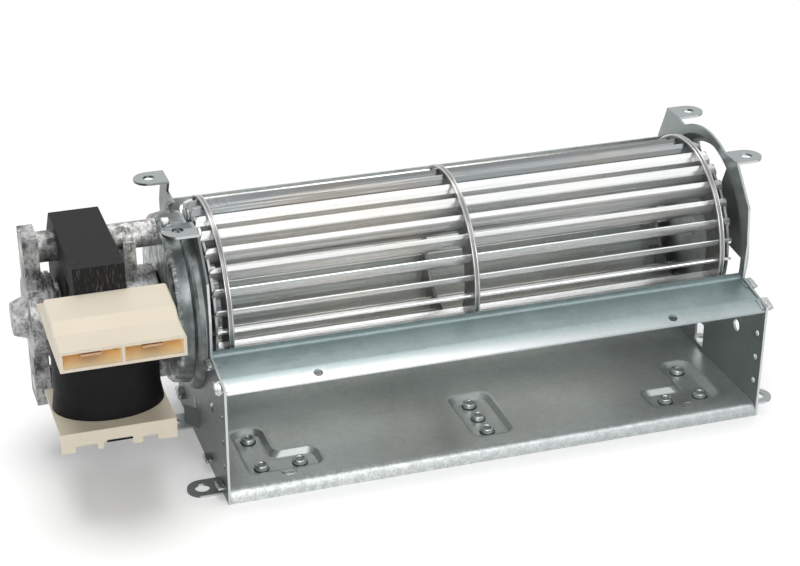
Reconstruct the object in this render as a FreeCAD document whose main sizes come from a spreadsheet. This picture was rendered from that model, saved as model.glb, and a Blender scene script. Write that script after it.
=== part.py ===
import FreeCAD, Part
import math
import os
import re
import Sketcher

# Cross flow fan with a shaded pole motor, in millimetres.
# X runs along the rotor axis, towards the idle end; Y runs from the outlet to the back; Z is up.
# The origin is on the surface that the fan stands on, midway between the two front foot holes.
# Every piece is drawn about the rotor axis, with x = 0 midway between the side plates,
# and is then set on that axis by its Placement.

doc = FreeCAD.newDocument("cross_flow_fan")
sheet = doc.addObject("Spreadsheet::Sheet", "Sizes")
V = FreeCAD.Vector


SIZES = {
    # rotor axis and side plates
    "axis_back": 39.5,
    "axis_height": 51.0,
    "span": 185.0,
    "plate_sheet": 0.8,
    "nose_reach": 51.3,
    "brow_rise": 1.2,
    "throat_step": 1.2,
    "throat_rise": 0.8,
    "arm_reach": 35.6,
    "arm_rise": 6.6,
    "shoulder_drop": 12.6,
    "crown_radius": 35.0,
    "left_top": 27.8,
    "heel_reach": 22.0,
    "heel_height": 12.0,

    # fixing ears, feet and the lanced rear lug of each side plate
    "crown_rise": 3.0,
    "ear_front": 19.1,
    "ear_pitch": 45.2,
    "ear_width": 10.4,
    "ear_reach": 5.9,
    "ear_hole": 1.9,
    "foot_pitch": 45.0,
    "foot_reach": 6.7,
    "foot_width": 10.0,
    "foot_hole": 2.5,
    "lug_front": 9.6,
    "lug_length": 6.4,
    "lug_bend": 36.0,
    "lug_low": 5.8,
    "lug_height": 6.8,
    "lug_hole": 0.8,
    "lug_window_rise": 2.0,

    # row of small holes beside the outlet, and the larger hole behind it
    "edge_hole": 1.1,
    "edge_hole_back": 3.4,
    "edge_hole_low": 12.3,
    "edge_hole_pitch": 8.95,
    "rear_hole": 2.1,
    "rear_hole_reach": 33.1,
    "rear_hole_height": 26.2,

    # round dish drawn outwards in each side plate
    "dish_gap": 0.4,
    "dish_step": 4.0,
    "dish_taper": 2.2,
    "left_rim": 31.4,
    "cup_radius": 28.6,
    "cup_taper": 0.6,
    "cup_depth": 9.5,
    "cup_bore": 9.5,
    "window_outer": 28.6,
    "window_inner": 13.0,
    "spoke_angle": 72.0,

    # scroll sheet, tongue sheet and the tabs that hold them in the side plates
    "scroll_sheet": 0.7,
    "floor_height": 4.5,
    "scroll_radius": 36.0,
    "back_overhang": 1.2,
    "scroll_drop": 0.1,
    "bullnose_radius": 3.2,
    "joint_gap": 0.1,
    "tab_length": 5.0,
    "tab_out": 2.4,
    "flap_drop": 3.0,
    "nose_tab": 45.2,
    "front_tab": 27.5,
    "rear_tab": 23.0,
    "wall_tab": 60.0,
    "tongue_tab": 37.0,
    "tongue_front_tab": 49.0,
    "tongue_gap": 1.6,
    "lip_height": 46.0,
    "crease_height": 44.2,
    "tongue_bend_reach": 46.0,
    "tongue_bend_height": 42.6,
    "tongue_front_reach": 52.2,
    "tongue_front_height": 40.6,
    "tongue_hole": 1.5,
    "tongue_hole_inset": 3.2,
    "tongue_hole_left": 62.0,
    "tongue_hole_right": 60.0,

    # sunk pads of the floor, with raised screw collars
    "pad_depth": 2.2,
    "pad_wall": 3.2,
    "pad_inset": 7.4,
    "pad_leg": 13.0,
    "pad_foot": 27.5,
    "pad_front": 43.0,
    "pad_back": 12.4,
    "pad_toe": 13.6,
    "pad_corner": 4.0,
    "middle_pad_left": 7.6,
    "middle_pad_right": 9.0,
    "collar_outer": 2.3,
    "collar_bore": 1.35,
    "collar_rise": 1.5,
    "collar_inset": 6.5,
    "collar_pitch": 13.0,
    "collar_back": 18.6,
    "collar_front": 36.6,

    # impeller
    "blade_count": 28,
    "blade_tip": 31.0,
    "blade_root": 24.0,
    "blade_curve": 8.0,
    "blade_sheet": 0.5,
    "blade_flats": 5,
    "blade_end_round": 2.5,
    "blade_phase": 5.9,
    "wheel_end_gap": 2.1,
    "slot_gap": 0.08,
    "ring_margin": 1.0,
    "ring_bore": 21.0,
    "ring_sheet": 1.0,
    "ring_bead": 1.8,
    "ring_inset": 4.9,
    "middle_ring_left": 2.7,
    "disc_margin": 2.6,
    "disc_sheet": 0.8,
    "disc_inset": 1.0,

    # shafts, hubs and the idle bearing
    "shaft_radius": 2.5,
    "shaft_in_wheel": 4.0,
    "press_gap": 0.02,
    "running_gap": 0.05,
    "hub_radius": 6.3,
    "hub_length": 9.0,
    "hub_flange": 10.0,
    "hub_flange_sheet": 1.4,
    "hub_spigot": 3.9,
    "set_screw_radius": 2.0,
    "stub_radius": 3.0,
    "stub_out": 9.6,
    "bush_radius": 5.5,
    "bush_length": 5.6,
    "rubber_flange": 10.6,
    "rubber_bore_hole": 8.5,
    "rubber_lip": 1.4,

    # motor: stack, rotor and coil
    "inner_post_length": 16.2,
    "stack_length": 16.3,
    "stack_half_height": 30.5,
    "arm_thick": 10.5,
    "stack_front": 34.3,
    "stack_back": 21.5,
    "stack_shoulder": 11.4,
    "leg_thick": 10.0,
    "coil_room": 8.8,
    "air_gap": 0.4,
    "rotor_radius": 11.0,
    "cage_step": 1.0,
    "cage_end": 3.0,
    "shade_wire": 1.8,
    "shade_reach": 10.8,
    "shade_height": 8.8,
    "shade_pitch": 4.6,
    "coil_half_long": 16.8,
    "coil_half_short": 12.0,
    "coil_flare": 1.0,
    "bobbin_wall": 0.9,
    "bobbin_half": 18.2,
    "bobbin_shift": 0.6,
    "flange_sheet": 1.2,
    "flange_front": 47.0,
    "skirt_drop": 5.5,
    "notch_rise": 2.0,
    "fit_gap": 0.1,
    "tiny": 0.1,

    # connector housing moulded on the bobbin
    "housing_half": 19.1,
    "housing_shift": 1.4,
    "housing_front": 62.3,
    "housing_step_front": 52.4,
    "housing_step_back": 47.8,
    "housing_low": 10.7,
    "housing_nose": 17.5,
    "housing_step_low": 18.1,
    "housing_step_high": 20.7,
    "housing_top": 22.0,
    "housing_round": 0.9,
    "socket_depth": 13.8,
    "socket_wall": 1.0,
    "terminal_width": 6.3,
    "terminal_sheet": 0.8,
    "terminal_height": 14.1,
    "terminal_tip": 59.4,
    "terminal_back": 43.0,

    # motor brackets, bearings and screws
    "post_pitch": 48.0,
    "outer_post": 5.0,
    "inner_post": 4.4,
    "outer_post_length": 6.0,
    "outer_bar_thick": 5.0,
    "bar_half_width": 6.0,
    "bar_end": 5.6,
    "bell_radius": 13.3,
    "bell_bore": 11.5,
    "bell_lip": 3.9,
    "bell_rib": 0.8,
    "nose_root_radius": 7.2,
    "nose_tip_radius": 5.4,
    "nose_length": 5.0,
    "inner_bar_gap": 4.5,
    "inner_bar_thick": 4.0,
    "inner_boss_radius": 12.0,
    "inner_boss_gap": 1.5,
    "ball_radius": 5.6,
    "ball_width": 7.0,
    "outer_ball_out": 8.4,
    "inner_ball_out": 8.5,
    "felt_radius": 8.5,
    "felt_length": 3.2,
    "keeper_sheet": 0.5,
    "keeper_bore": 5.3,
    "screw_radius": 1.7,
    "screw_head": 2.8,
    "screw_head_thick": 1.8,
    "screw_gap": 0.15,
    "plate_screw_length": 5.0,
}

# Sizes that follow from the driving ones. A later line may use an earlier one.
FOLLOWING = {
    "wheel_length": "span - 2 * wheel_end_gap",
    "ring_radius": "blade_tip + ring_margin",
    "ring_place": "wheel_length / 2 - ring_inset",
    "disc_radius": "blade_tip - disc_margin",
    "dish_rim": "ring_radius + dish_gap",
    "arm_height": "axis_height + arm_rise",
    "ear_height": "axis_height + crown_radius - crown_rise",
    "shoulder_height": "ear_height - shoulder_drop",
    "lip_drop": "axis_height - lip_height",
    "tongue_hole_reach": "tongue_front_reach - tongue_hole_inset",
    "lip_reach": "sqrt((ring_radius + tongue_gap) ^ 2 - lip_drop ^ 2)",
    "brow_reach": "tongue_front_reach",
    "brow_height": "tongue_front_height + brow_rise",
    "throat_reach": "lip_reach + throat_step",
    "throat_height": "crease_height + throat_rise",
    "scroll_top": "shoulder_height - scroll_drop",
    "scroll_outside": "scroll_radius + back_overhang",
    "ear_spread": "span + 2 * ear_reach",
    "foot_spread": "span + 2 * foot_reach",
    "pad_outer": "span / 2 - pad_inset",
    "collar_place": "pad_outer - collar_inset",
    "stack_right": "span / 2 + cup_depth + inner_post_length",
    "stack_centre": "stack_right + stack_length / 2",
    "housing_middle": "housing_shift - stack_centre",
    "bobbin_middle": "bobbin_shift - stack_centre",
    "stack_left": "stack_right + stack_length",
    "stack_window": "stack_front - leg_thick - coil_room",
    "outer_bar_face": "stack_left + outer_post_length",
    "outer_ball": "stack_left + outer_ball_out",
    "inner_ball": "stack_right - inner_ball_out",
    "inner_boss_end": "span / 2 + cup_depth + inner_boss_gap",
    "bar_half_height": "post_pitch / 2 + bar_end",
    "cage_radius": "rotor_radius - cage_step",
}
for row, (name, number) in enumerate((SIZES | FOLLOWING).items(), 1):
    sheet.set("A%d" % row, name)
    sheet.set("B%d" % row, "=" + number if name in FOLLOWING else str(number))
    sheet.setAlias("B%d" % row, name)
doc.recompute()


def value(text):
    """The number that an expression on the sheet gives."""
    return float(sheet.evalExpression(str(text)))


def bound(text):
    """The same expression as another object has to write it."""
    def full(match):
        return "Sizes." + match[0] if match[0] in (SIZES | FOLLOWING) else match[0]
    return re.sub(r"[a-z_]+", full, str(text))


def bind(item, **properties):
    """Bind properties of an object to expressions on the sheet."""
    for name, text in properties.items():
        item.setExpression(name.replace("__", "."), bound(text))
    return item


def put(item, x="0", y="0", z="0"):
    """Bind the place of an object."""
    return bind(item, Placement__Base__x=x, Placement__Base__y=y, Placement__Base__z=z)


ALONG_X = FreeCAD.Rotation(V(0, 1, 0), 90)
ALONG_Y = FreeCAD.Rotation(V(1, 0, 0), -90)
ALONG_Z = FreeCAD.Rotation()
SECTION = FreeCAD.Rotation(V(1, 1, 1), 120)
PROFILE = FreeCAD.Rotation(V(1, 0, 0), 90)


def box(name, x, y, z, length, width, height):
    """A block from its low corner."""
    item = doc.addObject("Part::Box", name)
    bind(item, Length=length, Width=width, Height=height)
    return put(item, x, y, z)


def rod(name, radius, length, x="0", y="0", z="0", turn=ALONG_X):
    """A cylinder that starts at a point and runs along one axis."""
    item = doc.addObject("Part::Cylinder", name)
    item.Placement = FreeCAD.Placement(V(0, 0, 0), turn)
    bind(item, Radius=radius, Height=length)
    return put(item, x, y, z)


def outline(name, corners, turn):
    """A closed sketch whose corners are pairs of expressions."""
    sketch = doc.addObject("Sketcher::SketchObject", name)
    sketch.Placement = FreeCAD.Placement(V(0, 0, 0), turn)
    spots = [V(value(u), value(v), 0) for u, v in corners]
    last = len(spots) - 1
    for i, spot in enumerate(spots):
        sketch.addGeometry(Part.LineSegment(spot, spots[0 if i == last else i + 1]), False)
    for i in range(len(spots)):
        following = 0 if i == last else i + 1
        sketch.addConstraint(Sketcher.Constraint("Coincident", i, 2, following, 1))
    for i, corner in enumerate(corners):
        for kind, text, number in zip(("DistanceX", "DistanceY"), corner, (spots[i].x, spots[i].y)):
            index = sketch.addConstraint(Sketcher.Constraint(kind, -1, 1, i, 1, number))
            sketch.setExpression("Constraints[%d]" % index, bound(text))
    return sketch


def slab(name, corners, x, length):
    """An outline in the Y and Z directions, made thick along X."""
    sketch = outline(name + "_outline", corners, SECTION)
    put(sketch, x=x)
    item = doc.addObject("Part::Extrusion", name)
    item.Base = sketch
    item.DirMode = "Normal"
    item.Solid = True
    return bind(item, LengthFwd=length)


def turned(name, corners):
    """A solid of revolution about the rotor axis, from corners along X and outwards."""
    sketch = outline(name + "_outline", corners, PROFILE)
    item = doc.addObject("Part::Revolution", name)
    item.Source = sketch
    item.Axis = V(1, 0, 0)
    item.Base = V(0, 0, 0)
    item.Angle = 360
    item.Solid = True
    return item


def fuse(name, parts):
    item = doc.addObject("Part::MultiFuse", name)
    item.Shapes = parts
    item.Refine = True
    return item


def group(name, solids):
    """Several equal pieces that belong to one sub-part."""
    item = doc.addObject("Part::Compound", name)
    item.Links = solids
    return item


def cut(name, base, tools):
    item = doc.addObject("Part::Cut", name)
    item.Base = base
    item.Tool = tools[0] if len(tools) == 1 else fuse(name + "_tools", tools)
    item.Refine = True
    return item


def rounded(name, base, radius, chosen):
    """Round the edges of a solid whose middle point is chosen."""
    doc.recompute()
    item = doc.addObject("Part::Fillet", name)
    item.Base = base
    amount = value(radius)
    edges = enumerate(base.Shape.Edges, 1)
    item.Edges = [(i, amount, amount) for i, edge in edges if chosen(edge)]
    return item


nodes = {}


def piece(name, item):
    """Name a finished sub-part and set it on the rotor axis."""
    if item.TypeId in ("Part::Box", "Part::Cylinder"):
        item = group(name + "_whole", [item])
    item.Label = name
    put(item, "0", "axis_back", "axis_height")
    nodes[name] = item
    return item


# side plates

def ear_or_foot(name, side, middle, spread, width, low, hole):
    """A flat lug bent outwards from the side plate, round at its tip, with one hole."""
    reach = "(%s / 2 - span / 2)" % spread
    start = "span / 2" if side > 0 else "-%s / 2" % spread
    tip = "%d * %s / 2" % (side, spread)
    bar = box(name + "_bar", start, "%s - %s / 2" % (middle, width), low, reach, width, "plate_sheet")
    end = rod(name + "_tip", width + " / 2", "plate_sheet", tip, middle, low, ALONG_Z)
    bore = rod(name + "_bore", hole, "plate_sheet * 3", tip, middle, low + " - plate_sheet", ALONG_Z)
    return [bar, end], bore


def rear_lug(name, side):
    """The small lug that is lanced out of the side plate and bent, and the window it leaves."""
    turn = FreeCAD.Rotation(V(0, 0, 1), 90 - side * value("lug_bend"))
    lean, rise = "sin(lug_bend * 1 deg)", "cos(lug_bend * 1 deg)"
    low = "lug_low - axis_height"
    root = ("%d * (span / 2 + tiny)" % side, "-lug_front")
    if side > 0:
        root = ("%s + plate_sheet * %s" % (root[0], rise), "%s - plate_sheet * %s" % (root[1], lean))
    lug = doc.addObject("Part::Box", name + "_lug")
    bind(lug, Length="lug_length", Width="plate_sheet", Height="lug_height")
    lug.Placement = FreeCAD.Placement(V(0, 0, 0), turn)
    put(lug, root[0], root[1], low)
    half = "(lug_length * 0.6)"
    bore = rod(name + "_lug_bore", "lug_hole", "plate_sheet * 5",
               "%s + %d * (%s * %s + plate_sheet * 2 * %s)" % (root[0], side, half, lean, rise),
               "%s + %s * %s - plate_sheet * 2 * %s" % (root[1], half, rise, lean),
               low + " + lug_height / 2")
    across = FreeCAD.Rotation(V(0, 0, 1), 90 - side * value("lug_bend"))
    bore.Placement = FreeCAD.Placement(bore.Placement.Base, across.multiply(ALONG_Y))
    start = "span / 2 - plate_sheet" if side > 0 else "-span / 2 - plate_sheet * 2"
    window = box(name + "_window", start, "-lug_front", low, "plate_sheet * 3", "lug_length",
                 "lug_height + lug_window_rise")
    return cut(name + "_lug_bored", lug, [bore]), window


def tab_box(name, x, length, y, z, angle, play):
    """A sheet tab, or with some play the slot for it, lying along the sheet at one point."""
    item = doc.addObject("Part::Box", name)
    along = "(tab_length / 2 + %s)" % play
    across = "(scroll_sheet / 2 + %s)" % play
    bind(item, Length=length, Width="2 * " + along, Height="2 * " + across)
    item.Placement = FreeCAD.Placement(V(0, 0, 0), FreeCAD.Rotation(V(1, 0, 0), value(angle)))
    lean, rise = "cos(1 deg * (%s))" % angle, "sin(1 deg * (%s))" % angle
    low_y = "%s - %s * %s + %s * %s" % (y, along, lean, across, rise)
    low_z = "%s - %s * %s - %s * %s" % (z, along, rise, across, lean)
    bind(item, Placement__Rotation__Angle=angle)
    return put(item, x, low_y, low_z)


SCROLL_MID = "(floor_height - scroll_sheet / 2 + scroll_radius - axis_height)"
TONGUE_SLOPE = ("atan((crease_height - tongue_bend_height) / (tongue_bend_reach - lip_reach))"
                " / (1 deg)")
TONGUE_AT_TAB = ("(crease_height - axis_height - (tongue_tab - lip_reach) * (crease_height"
                 " - tongue_bend_height) / (tongue_bend_reach - lip_reach))")
TONGUE_DIP = ("atan((tongue_bend_height - tongue_front_height)"
              " / (tongue_front_reach - tongue_bend_reach)) / (1 deg)")
TONGUE_AT_FRONT_TAB = ("(tongue_bend_height - axis_height - (tongue_front_tab - tongue_bend_reach)"
                       " * (tongue_bend_height - tongue_front_height)"
                       " / (tongue_front_reach - tongue_bend_reach))")
TAB_SPOTS = {
    "nose": ("-nose_tab", "floor_height - scroll_sheet / 2 - axis_height", "0"),
    "front": ("-front_tab", "floor_height - scroll_sheet / 2 - axis_height", "0"),
    "rear": ("scroll_radius * sin(rear_tab * 1 deg)",
             SCROLL_MID + " - scroll_radius * cos(rear_tab * 1 deg)", "rear_tab"),
    "wall": ("scroll_radius", "wall_tab - axis_height", "90"),
    "tongue": ("-tongue_tab", TONGUE_AT_TAB, TONGUE_SLOPE),
    "tongue_front": ("-tongue_front_tab", TONGUE_AT_FRONT_TAB, TONGUE_DIP),
}


def side_plate(name, side):
    """The common outline of both side plates: arm, crown, scroll back, ears, foot and lug."""
    inner = "span / 2" if side > 0 else "-span / 2 - plate_sheet"
    up = "%s - axis_height"
    rear_ear = "ear_pitch - ear_front"
    between = [("0", "crown_radius * 0.8")]
    if side < 0:
        between = [("-ear_front + ear_width / 2", "left_top"),
                   (rear_ear + " - ear_width * 0.3", "left_top")]
    corners = [
        ("-nose_reach", "-axis_height"),
        ("-brow_reach", up % "brow_height"),
        ("-throat_reach", up % "throat_height"),
        ("-arm_reach", up % "arm_height"),
        ("-throat_reach", up % "shoulder_height"),
        ("-ear_front - ear_width / 2", up % "ear_height" + " - plate_sheet"),
        ("-ear_front + ear_width / 2", up % "ear_height" + " - plate_sheet"),
        *between,
        (rear_ear + " - ear_width / 2", up % "ear_height" + " - plate_sheet"),
        (rear_ear + " + ear_width / 2", up % "ear_height" + " - plate_sheet"),
        ("scroll_outside", up % "shoulder_height"),
        ("scroll_outside", SCROLL_MID),
        ("heel_reach", up % "heel_height"),
        ("heel_reach", "-axis_height"),
    ]
    flat = slab(name + "_flat", corners, inner, "plate_sheet")
    back = rod(name + "_back", "scroll_outside", "plate_sheet", inner, "0", SCROLL_MID)
    back.Placement = FreeCAD.Placement(V(0, 0, 0), ALONG_X)
    back.Angle = 360
    front_cut = box(name + "_front_cut", inner + " - 1", "-scroll_radius * 2", "-axis_height - 20",
                    "plate_sheet + 2", "scroll_radius * 2", "axis_height * 2 + 20")
    back_half = cut(name + "_back_half", back, [front_cut])
    solids = [flat, back_half]
    if side > 0:
        solids.append(rod(name + "_crown", "crown_radius", "plate_sheet", inner))
    holes = []
    lugs = (
        ("front_ear", "-ear_front", "ear_spread", "ear_width", up % "ear_height" + " - plate_sheet",
         "ear_hole"),
        ("rear_ear", rear_ear, "ear_spread", "ear_width",
         up % "ear_height" + " - plate_sheet", "ear_hole"),
        ("foot", "-axis_back", "foot_spread", "foot_width", "-axis_height", "foot_hole"),
        ("rear_foot", "foot_pitch - axis_back", "foot_spread", "foot_width", "-axis_height",
         "foot_hole"),
    )
    for lug_name, middle, spread, width, low, hole in lugs:
        parts, bore = ear_or_foot(name + "_" + lug_name, side, middle, spread, width, low, hole)
        solids += parts
        holes.append(bore)
    lug, window = rear_lug(name, side)
    holes.append(window)
    through, start = "plate_sheet * 3", inner + " - plate_sheet"
    for i in range(3):
        height = "edge_hole_low + %d * edge_hole_pitch - axis_height" % i
        holes.append(rod(name + "_edge_hole_%d" % (i + 1), "edge_hole", through, start,
                         "-nose_reach + edge_hole_back", height))
    holes.append(rod(name + "_rear_hole", "rear_hole", through, start, "-rear_hole_reach",
                     "rear_hole_height - axis_height"))
    for spot, (y, z, angle) in TAB_SPOTS.items():
        holes.append(tab_box(name + "_slot_" + spot, start, through, y, z, angle, "joint_gap"))
    return solids, holes, lug


def left_dish_corners():
    """The drawn cup that carries the motor: a round ridge, a shallow wall and a flat end."""
    def at(out, radius):
        return ("-(span / 2 + %s)" % out, radius)
    ridge = ((1.2, 0.05), (2.4, 0.35), (3.4, 0.95), (4.0, 1.7), (4.2, 2.8))
    outer = [at("0", "left_rim + 1"), at("plate_sheet", "left_rim + 1"),
             at("plate_sheet", "left_rim")]
    outer += [at("%g" % out, "left_rim - %g" % drop) for out, drop in ridge]
    outer += [at("cup_depth - 0.8", "cup_radius - cup_taper"),
              at("cup_depth", "cup_radius - cup_taper - 0.8"), at("cup_depth", "cup_bore")]
    inner = [at("cup_depth - plate_sheet", "cup_bore"),
             at("cup_depth - plate_sheet", "cup_radius - cup_taper - plate_sheet - 0.2"),
             at("3.4", "left_rim - 3.6"), at("2.8", "left_rim - 1.6"), at("1.4", "left_rim - 0.9"),
             at("0", "left_rim - 0.75")]
    return outer + inner


def right_dish_corners():
    """The shallow dish that carries the idle bearing."""
    def at(out, radius):
        return ("span / 2 + " + out, radius)
    return [
        at("0", "dish_rim + 1"),
        at("plate_sheet", "dish_rim + 1"),
        at("plate_sheet", "dish_rim"),
        at("dish_step", "dish_rim - dish_taper"),
        at("dish_step", "rubber_bore_hole"),
        at("dish_step - plate_sheet", "rubber_bore_hole"),
        at("dish_step - plate_sheet", "dish_rim - dish_taper - 0.5"),
        at("0", "dish_rim - 0.5"),
    ]


def left_side_plate():
    """The motor's side plate. Its top edge runs level between the ears, below the dish's ridge."""
    solids, holes, lug = side_plate("left", -1)
    whole = fuse("left_whole", solids)
    mouth = rod("left_mouth", "left_rim + 0.2", "plate_sheet * 3", "-span / 2 - plate_sheet * 2")
    flat = cut("left_open", whole, [mouth] + holes)
    dish = turned("left_dish", left_dish_corners())
    drilled = [box("left_level", "-span / 2 - dish_step - plate_sheet", "-left_rim * 2", "left_top",
                   "dish_step + plate_sheet + 1", "left_rim * 4", "left_rim")]
    for i, step in enumerate(("-1", "1")):
        drilled.append(rod("left_screw_hole_%d" % i, "screw_radius + screw_gap", "cup_depth * 2",
                           "-span / 2 - cup_depth * 2", "0", "%s * post_pitch / 2" % step))
    pierced = cut("left_dish_pierced", dish, drilled)
    inner, outer = "left_top - plate_sheet", "left_top + 0.2"
    ring = turned("left_shelf_ring", [
        ("-span / 2", inner), ("-span / 2", outer), ("-span / 2 - cup_depth * 0.6", outer),
        ("-span / 2 - cup_depth * 0.6", inner)])
    above = box("left_shelf_room", "-span / 2 - cup_depth", "-left_rim", "left_top * 0.9",
                "cup_depth + 1", "left_rim * 2", "left_rim")
    shelf = doc.addObject("Part::Common", "left_shelf")
    shelf.Base = ring
    shelf.Tool = above
    cup = fuse("left_cup", [pierced, shelf])
    return piece("left_side_plate", fuse("left_plate", [flat, cup, lug]))


def right_side_plate():
    solids, holes, lug = side_plate("right", 1)
    whole = fuse("right_whole", solids)
    mouth = rod("right_mouth", "dish_rim + 0.2", "plate_sheet * 3", "span / 2 - plate_sheet")
    flat = cut("right_open", whole, [mouth] + holes)
    dish = turned("right_dish", right_dish_corners())
    windows = []
    for i in range(3):
        wedge = rod("right_wedge_%d" % i, "window_outer", "dish_step * 3", "span / 2 - dish_step")
        turn = FreeCAD.Rotation(V(1, 0, 0), 120 * i + value("spoke_angle") / 2)
        wedge.Placement = FreeCAD.Placement(V(0, 0, 0), turn.multiply(ALONG_X))
        bind(wedge, Angle="120 - spoke_angle")
        put(wedge, "span / 2 - dish_step")
        core = rod("right_core_%d" % i, "window_inner", "dish_step * 3", "span / 2 - dish_step")
        windows.append(cut("right_window_%d" % i, wedge, [core]))
    pierced = cut("right_dish_pierced", dish, windows)
    return piece("right_side_plate", fuse("right_plate", [flat, pierced, lug]))


left_side_plate()
right_side_plate()


# bent sheets

def bent_sheet(points, radii, thickness, width):
    """A sheet bent along a path in the Y and Z directions, with its outer face on the path."""
    spots = [V(0, y, z) for y, z in points]
    edges = []
    start = spots[0]
    for before, corner, after, radius in zip(spots, spots[1:], spots[2:], radii):
        back, ahead = (before - corner).normalize(), (after - corner).normalize()
        half = back.getAngle(ahead) / 2
        reach = radius / math.tan(half)
        centre = corner + (back + ahead).normalize() * (radius / math.sin(half))
        enter, leave = corner + back * reach, corner + ahead * reach
        middle = centre + (corner - centre).normalize() * radius
        edges += [Part.makeLine(start, enter), Part.Arc(enter, middle, leave).toShape()]
        start = leave
    edges.append(Part.makeLine(start, spots[-1]))
    face = Part.Wire(edges).makeOffset2D(thickness, 0, True, True, False)
    face.translate(V(-width / 2, 0, 0))
    return face.extrude(V(width, 0, 0))


def tab_solids(spot, x_reach):
    """The tabs of one sheet at one spot, at both ends."""
    y, z, angle = (value(text) for text in TAB_SPOTS[spot])
    long, thick = value("tab_length"), value("scroll_sheet")
    out = x_reach + value("plate_sheet + tab_out + joint_gap")
    tab = Part.makeBox(2 * out, long, thick, V(-out, -long / 2, -thick / 2))
    tab.rotate(V(0, 0, 0), V(1, 0, 0), angle)
    tab.translate(V(0, y, z))
    keep_out = Part.makeBox(2 * x_reach - 2, 400, 400, V(1 - x_reach, -200, -200))
    return tab.cut(keep_out)


def round_wire(corners, inset, radius, height):
    """A level outline with round corners, each edge moved inwards by the inset."""
    count = len(corners)
    spots = [V(x, y, height) for x, y in corners]
    area = sum(a.x * b.y - b.x * a.y for a, b in zip(spots, spots[1:] + spots[:1]))
    turn = V(0, 0, 1 if area > 0 else -1)
    sides = []
    for i in range(count):
        along = (spots[(i + 1) % count] - spots[i]).normalize()
        sides.append((spots[i] + turn.cross(along) * inset, along))
    moved = []
    for (here, along), (before, along_before) in zip(sides, sides[-1:] + sides[:-1]):
        share = (here - before).cross(along).z / along_before.cross(along).z
        moved.append(before + along_before * share)
    legs = []
    for i, corner in enumerate(moved):
        back = (moved[i - 1] - corner).normalize()
        ahead = (moved[(i + 1) % count] - corner).normalize()
        half = back.getAngle(ahead) / 2
        reach, far = radius / math.tan(half), radius / math.sin(half) - radius
        middle = corner + (back + ahead).normalize() * far
        legs.append((corner + back * reach, middle, corner + ahead * reach))
    edges = []
    for i, (enter, middle, leave) in enumerate(legs):
        following = legs[(i + 1) % count][0]
        edges += [Part.Arc(enter, middle, leave).toShape(), Part.makeLine(leave, following)]
    return Part.Wire(edges)


def pad_prism(corners, radius, top, depth, slope):
    """A sunk pad: its outline at the top, smaller all round at the bottom, with a soft wall."""
    wall = ((0, 0), (0.28, 0.1), (0.72, 0.9), (1, 1))
    rings = [round_wire(corners, slope * across, radius * (1 - 0.4 * across), top - depth * down)
             for across, down in wall]
    return Part.makeLoft(rings, True, True)


def scroll_sheet():
    thick, floor = value("scroll_sheet"), value("floor_height - axis_height")
    width = value("span - joint_gap * 2")
    back, nose = value("scroll_radius"), value("bullnose_radius")
    outer = thick / 2
    path = [
        (-value("nose_reach"), -value("axis_height") + value("tiny")),
        (-value("nose_reach"), floor),
        (back - outer, floor),
        (back - outer, value("scroll_top - axis_height")),
    ]
    sheet_solid = bent_sheet(path, (nose, back - outer), thick, width)
    for spot in ("nose", "front", "rear", "wall"):
        sheet_solid = sheet_solid.fuse(tab_solids(spot, width / 2))
    depth, step = value("pad_depth"), value("pad_wall")
    out, leg, toe = value("pad_outer"), value("pad_leg"), value("pad_toe")
    front, rear, foot = -value("pad_front"), -value("pad_back"), value("pad_foot")
    inner, end = out - leg, out - foot
    bracket = [(out, front), (out, rear), (inner, rear), (inner, front + toe), (end, front + toe),
               (end, front)]
    left, right = -value("middle_pad_left"), value("middle_pad_right")
    middle = [(left, front), (left, rear), (right, rear), (right, front)]
    outlines = [bracket, [(-x, y) for x, y in bracket], middle]
    corner = value("pad_corner")
    for corners in outlines:
        hollow = pad_prism(corners, corner, floor, depth, step)
        skin = hollow.copy()
        skin.translate(V(0, 0, -thick))
        sheet_solid = sheet_solid.fuse(skin).cut(hollow)
    place, pitch = value("collar_place"), value("collar_pitch")
    deep, near = -value("collar_back"), -value("collar_front")
    spots = [(0, deep), (0, (deep + near) / 2), (0, near)]
    for side in (-1, 1):
        spots += [(side * place, deep), (side * place, near), (side * (place - pitch), near)]
    low = floor - depth - thick
    for x, y in spots:
        collar = Part.makeCylinder(value("collar_outer"), thick + value("collar_rise"), V(x, y, low))
        bore = Part.makeCylinder(value("collar_bore"), thick * 6, V(x, y, low - thick))
        sheet_solid = sheet_solid.fuse(collar).cut(bore)
    item = doc.addObject("Part::Feature", "scroll")
    item.Shape = sheet_solid.removeSplitter()
    return piece("scroll_sheet", item)


def tongue_sheet():
    width = value("span - joint_gap * 2")
    high = -value("axis_height")
    thick = value("scroll_sheet")
    lip = -value("lip_reach")
    path = [
        (lip, value("lip_height") + high),
        (lip, value("crease_height") + high),
        (-value("tongue_bend_reach"), value("tongue_bend_height") + high),
        (-value("tongue_front_reach"), value("tongue_front_height") + high),
    ]
    solid = bent_sheet(path, (thick * 1.6, thick * 9), -thick, width)
    for spot in ("tongue", "tongue_front"):
        solid = solid.fuse(tab_solids(spot, width / 2))
    for x in (-value("tongue_hole_left"), value("tongue_hole_right")):
        spot = V(x, -value("tongue_hole_reach"), high)
        solid = solid.cut(Part.makeCylinder(value("tongue_hole"), value("axis_height"), spot))
    item = doc.addObject("Part::Feature", "tongue")
    item.Shape = solid.removeSplitter()
    return piece("tongue_sheet", item)


scroll_sheet()
tongue_sheet()


# impeller

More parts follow.
